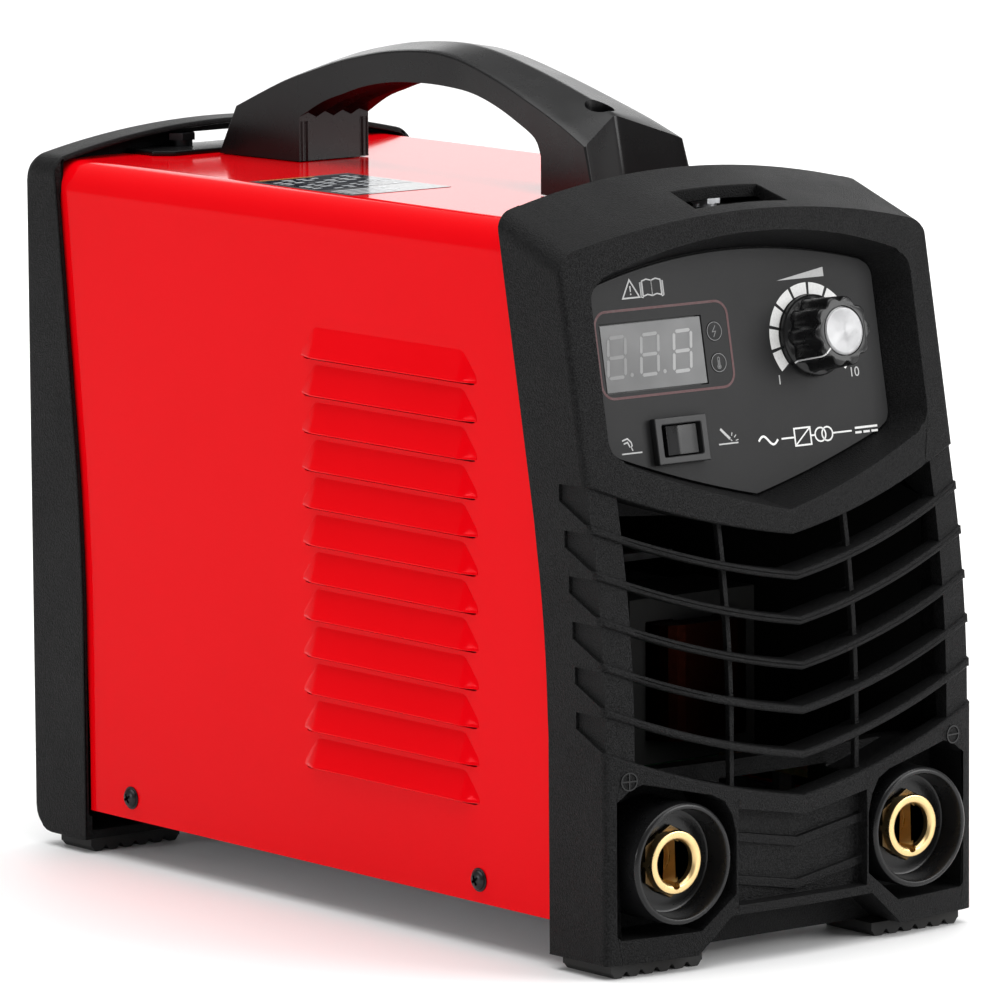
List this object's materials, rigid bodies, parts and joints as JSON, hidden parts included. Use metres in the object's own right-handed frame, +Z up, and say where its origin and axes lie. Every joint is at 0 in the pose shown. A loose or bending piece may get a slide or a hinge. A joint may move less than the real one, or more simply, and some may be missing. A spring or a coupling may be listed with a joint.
{
  "type": "stick welding inverter",
  "caption": "Portable stick welding inverter: folded cover with side louvres between black bezels, carry handle, chevron grille, control panel with dial and rocker, quick-connect sockets.",
  "frame": {"origin": "bottom centre of the whole machine, on the ground between the feet", "axes": "+X is the machine's right seen from the front, +Y points to the rear, +Z is up"},
  "size_m": [0.138, 0.2994, 0.2546],
  "materials": {
    "black_textured": "fine sand texture, satin",
    "black_smooth": "smooth moulded, semi-gloss",
    "panel_film": "flat film, satin",
    "red_paint": "glossy powder coat",
    "zinc_steel": "zinc plated",
    "black_steel": "black oxide, satin",
    "brass": "turned, bright",
    "copper": "rolled copper strip",
    "aluminium": "extruded, plain",
    "spun_aluminium": "spun with a circular grain",
    "rubber": "matt black rubber",
    "display_grey": "grey display lens with unlit digits",
    "board_green": "green solder mask",
    "ferrite": "dark sintered ferrite",
    "winding": "enamelled copper wire",
    "capacitor_blue": "shrink sleeve",
    "fan_black": "moulded, satin"
  },
  "bodies": {
    "machine": {"front_bezel": "black_textured", "rear_bezel": "black_textured", "handle": "black_textured", "cover": "red_paint", "base_tray": "zinc_steel", "cover_screw_left_front": "black_steel", "cover_screw_left_rear": "black_steel", "cover_screw_right_front": "black_steel", "cover_screw_right_rear": "black_steel", "handle_screw_front": "zinc_steel", "handle_screw_rear": "zinc_steel", "strap_post_front": "zinc_steel", "strap_post_rear_left": "zinc_steel", "strap_post_rear_right": "zinc_steel", "control_panel": "panel_film", "display_window": "display_grey", "display_module": "black_smooth", "display_board": "board_green", "power_indicator": "panel_film", "overheat_indicator": "panel_film", "potentiometer_nut": "brass", "potentiometer_body": "zinc_steel", "mode_switch_body": "black_smooth", "positive_socket_housing": "black_smooth", "positive_socket_nut": "black_smooth", "positive_socket_insert": "brass", "positive_busbar": "copper", "negative_socket_housing": "black_smooth", "negative_socket_nut": "black_smooth", "negative_socket_insert": "brass", "negative_busbar": "copper", "foot_front_left": "rubber", "foot_front_right": "rubber", "foot_rear_left": "rubber", "foot_rear_right": "rubber", "power_switch_body": "black_smooth", "cord_gland": "black_smooth", "gland_locknut": "black_smooth", "earth_screw": "brass", "fan_frame": "fan_black", "main_board": "board_green", "board_standoff_1": "zinc_steel", "board_standoff_2": "zinc_steel", "board_standoff_3": "zinc_steel", "board_standoff_4": "zinc_steel", "heatsink_left": "aluminium", "heatsink_right": "aluminium", "control_board": "board_green", "transformer_core": "ferrite", "transformer_winding": "winding", "output_inductor": "winding", "bus_capacitor_1": "capacitor_blue", "bus_capacitor_2": "capacitor_blue", "bus_capacitor_3": "capacitor_blue"},
    "current_dial": {"current_knob": "black_smooth", "knob_cap": "spun_aluminium", "potentiometer_shaft": "zinc_steel"},
    "mode_rocker": {"mode_switch_rocker": "black_smooth"},
    "power_rocker": {"power_switch_rocker": "black_smooth"},
    "fan": {"fan_rotor": "fan_black"}
  },
  "joints": [
    {"name": "current_dial_turn", "type": "hinge", "parent": "machine", "child": "current_dial", "pos_m": [0.0274, -0.12031, 0.1753], "axis": [0, 0.9821, -0.1886], "range_deg": [0, 270]},
    {"name": "mode_rocker_tip", "type": "hinge", "parent": "machine", "child": "mode_rocker", "pos_m": [-0.0268, -0.12299, 0.14969], "axis": [0, -0.1886, -0.9821], "range_deg": [0, 14]},
    {"name": "power_rocker_tip", "type": "hinge", "parent": "machine", "child": "power_rocker", "pos_m": [-0.028, 0.13335, 0.16], "axis": [0, 0, 1], "range_deg": [0, 14]},
    {"name": "fan_spin", "type": "hinge", "parent": "machine", "child": "fan", "pos_m": [0, 0.11995, 0.076], "axis": [0, 1, 0], "continuous": true}
  ]
}
